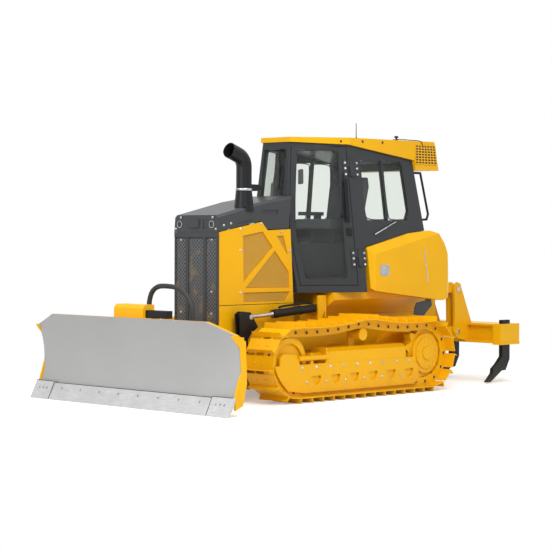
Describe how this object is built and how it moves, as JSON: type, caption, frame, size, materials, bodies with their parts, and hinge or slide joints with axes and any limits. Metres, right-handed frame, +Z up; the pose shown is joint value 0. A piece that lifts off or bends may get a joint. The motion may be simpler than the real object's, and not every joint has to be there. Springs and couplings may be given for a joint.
{
  "type": "crawler dozer",
  "caption": "Crawler dozer with an enclosed cab, an angling and tilting blade on a C-frame, and a rear parallelogram ripper with three shanks.",
  "frame": {"origin": "centre of the bounding box's base, on the ground under the machine's centre plane", "axes": "+X forward towards the blade, +Y to the driver's left, +Z up"},
  "size_m": [5.373, 2.94, 2.915],
  "materials": {
    "black": "satin black paint",
    "blade_steel": "primed and worn grey",
    "chrome": "hard chromed rod",
    "edge_steel": "worn bare steel",
    "fabric": "woven seat cloth",
    "glass": "tinted",
    "grey": "satin dark grey paint",
    "iron": "bare iron",
    "lamp": "clear lamp lens",
    "plastic": "grained black plastic",
    "track": "worn steel with dirt",
    "yellow": "gloss yellow paint"
  },
  "bodies": {
    "machine": {"bay_frame": "yellow", "cab_base": "yellow", "cab_frame": "grey", "cab_windows": "glass", "carrier_rollers": "iron", "console": "plastic", "door_hinges": "grey", "drain_flaps": "grey", "engine": "iron", "engine_panels": "yellow", "exhaust": "black", "final_drives": "iron", "grille": "grey", "handrails": "black", "hood": "grey", "hull": "yellow", "idlers": "iron", "lamps": "lamp", "radiator": "iron", "ripper_bracket": "yellow", "rollers": "iron", "roof": "yellow", "seat": "fabric", "tank": "yellow", "track_frame_left": "yellow", "track_frame_right": "yellow", "track_left": "track", "track_right": "track"},
    "door_left_body": {"door_left": "grey", "door_glass_left": "glass", "door_handle_left": "black"},
    "door_right_body": {"door_right": "grey", "door_glass_right": "glass", "door_handle_right": "black"},
    "blade_frame": {"c_frame": "yellow", "lift_brackets": "black", "angle_mounts": "yellow"},
    "yoke": {"blade_yoke": "yellow"},
    "blade_body": {"blade": "blade_steel", "blade_back": "yellow", "cutting_edge": "edge_steel", "blade_guard": "yellow", "hose_bracket": "black"},
    "lower_link": {"ripper_lower_link": "yellow"},
    "upper_links": {"ripper_upper_links": "yellow"},
    "ripper": {"ripper_frame": "yellow", "ripper_shanks": "edge_steel"},
    "ripper_tube": {"ripper_barrel": "grey"},
    "ripper_piston": {"ripper_rod": "chrome"},
    "tilt_tube": {"tilt_barrel": "grey"},
    "tilt_piston": {"tilt_rod": "chrome"},
    "lift_tube_left": {"lift_barrel_left": "grey"},
    "lift_piston_left": {"lift_rod_left": "chrome"},
    "lift_tube_right": {"lift_barrel_right": "grey"},
    "lift_piston_right": {"lift_rod_right": "chrome"},
    "angle_tube_left": {"angle_barrel_left": "grey"},
    "angle_piston_left": {"angle_rod_left": "chrome"},
    "angle_tube_right": {"angle_barrel_right": "grey"},
    "angle_piston_right": {"angle_rod_right": "chrome"}
  },
  "joints": [
    {"name": "blade_lift", "type": "hinge", "parent": "machine", "child": "blade_frame", "pos_m": [0.0085, 0, 0.43], "axis": [0, -1, 0], "range_deg": [-10.6, 16.7]},
    {"name": "lift_ram_left_swing", "type": "hinge", "parent": "machine", "child": "lift_tube_left", "pos_m": [0.3445, 0.43, 0.927], "axis": [0, -1, 0], "range_deg": [-14.56, 22.66]},
    {"name": "lift_ram_left_stroke", "type": "slide", "parent": "lift_tube_left", "child": "lift_piston_left", "axis": [0.9979, 0, -0.0647], "range_m": [-0.143, 0.0918]},
    {"name": "lift_ram_right_swing", "type": "hinge", "parent": "machine", "child": "lift_tube_right", "pos_m": [0.3445, -0.43, 0.927], "axis": [0, -1, 0], "range_deg": [-14.56, 22.66]},
    {"name": "lift_ram_right_stroke", "type": "slide", "parent": "lift_tube_right", "child": "lift_piston_right", "axis": [0.9979, 0, -0.0647], "range_m": [-0.143, 0.0918]},
    {"name": "blade_angle", "type": "hinge", "parent": "blade_frame", "child": "yoke", "pos_m": [2.2085, 0, 0.44], "axis": [0, 0, 1], "range_deg": [-25, 25]},
    {"name": "angle_ram_left_swing", "type": "hinge", "parent": "blade_frame", "child": "angle_tube_left", "pos_m": [1.6085, 0.4, 0.6], "axis": [0, 0, 1], "range_deg": [-6.63, 6.63]},
    {"name": "angle_ram_left_stroke", "type": "slide", "parent": "angle_tube_left", "child": "angle_piston_left", "axis": [0.9978, 0.0661, 0], "range_m": [-0.1942, 0.1942]},
    {"name": "angle_ram_right_swing", "type": "hinge", "parent": "blade_frame", "child": "angle_tube_right", "pos_m": [1.6085, -0.4, 0.6], "axis": [0, 0, 1], "range_deg": [-6.63, 6.63]},
    {"name": "angle_ram_right_stroke", "type": "slide", "parent": "angle_tube_right", "child": "angle_piston_right", "axis": [0.9978, -0.0661, 0], "range_m": [-0.1942, 0.1942]},
    {"name": "blade_tilt", "type": "hinge", "parent": "yoke", "child": "blade_body", "pos_m": [2.4115, 0, 0.44], "axis": [1, 0, 0], "range_deg": [-7, 7]},
    {"name": "tilt_ram_swing", "type": "hinge", "parent": "yoke", "child": "tilt_tube", "pos_m": [2.3635, -0.19, 0.76], "axis": [1, 0, 0], "range_deg": [-4.94, 4.94]},
    {"name": "tilt_ram_stroke", "type": "slide", "parent": "tilt_tube", "child": "tilt_piston", "axis": [0, 1, 0], "range_m": [-0.0421, 0.0421]},
    {"name": "ripper_lift", "type": "hinge", "parent": "machine", "child": "lower_link", "pos_m": [-1.6915, 0, 0.577], "axis": [0, 1, 0], "range_deg": [-30, 35]},
    {"name": "ripper_top_swing", "type": "hinge", "parent": "machine", "child": "upper_links", "pos_m": [-1.6915, 0, 1.073], "axis": [0, 1, 0], "range_deg": [-30.5, 35.5]},
    {"name": "ripper_level", "type": "hinge", "parent": "lower_link", "child": "ripper", "pos_m": [-2.1755, 0, 0.577], "axis": [0, 1, 0], "range_deg": [-35.5, 30.5]},
    {"name": "ripper_ram_swing", "type": "hinge", "parent": "machine", "child": "ripper_tube", "pos_m": [-1.6265, 0, 0.66], "axis": [0, 1, 0], "range_deg": [-17.28, 20.08]},
    {"name": "ripper_ram_stroke", "type": "slide", "parent": "ripper_tube", "child": "ripper_piston", "axis": [-0.7991, 0, 0.6012], "range_m": [-0.1496, 0.174]},
    {"name": "door_left", "type": "hinge", "parent": "machine", "child": "door_left_body", "pos_m": [-0.03257, 0.62758, 1.8], "axis": [0.012, -0.1192, 0.9928], "range_deg": [0, 100]},
    {"name": "door_right", "type": "hinge", "parent": "machine", "child": "door_right_body", "pos_m": [-0.03257, -0.62758, 1.8], "axis": [-0.012, -0.1192, -0.9928], "range_deg": [0, 100]}
  ],
  "couplings": [
    {"joint": "lift_ram_left_swing", "follows": "blade_lift", "ratio": 1.3268},
    {"joint": "lift_ram_left_stroke", "follows": "blade_lift", "m_per_rad": -0.4802},
    {"joint": "lift_ram_right_swing", "follows": "blade_lift", "ratio": 1.3268},
    {"joint": "lift_ram_right_stroke", "follows": "blade_lift", "m_per_rad": -0.4802},
    {"joint": "angle_ram_left_swing", "follows": "blade_angle", "ratio": 0.2453},
    {"joint": "angle_ram_left_stroke", "follows": "blade_angle", "m_per_rad": -0.4382},
    {"joint": "angle_ram_right_swing", "follows": "blade_angle", "ratio": 0.2453},
    {"joint": "angle_ram_right_stroke", "follows": "blade_angle", "m_per_rad": 0.4382},
    {"joint": "tilt_ram_swing", "follows": "blade_tilt", "ratio": 0.6343},
    {"joint": "tilt_ram_stroke", "follows": "blade_tilt", "m_per_rad": -0.3199},
    {"joint": "ripper_top_swing", "follows": "ripper_lift", "ratio": 1},
    {"joint": "ripper_level", "follows": "ripper_lift", "ratio": -1},
    {"joint": "ripper_ram_swing", "follows": "ripper_lift", "ratio": 0.5594},
    {"joint": "ripper_ram_stroke", "follows": "ripper_lift", "m_per_rad": 0.28}
  ]
}
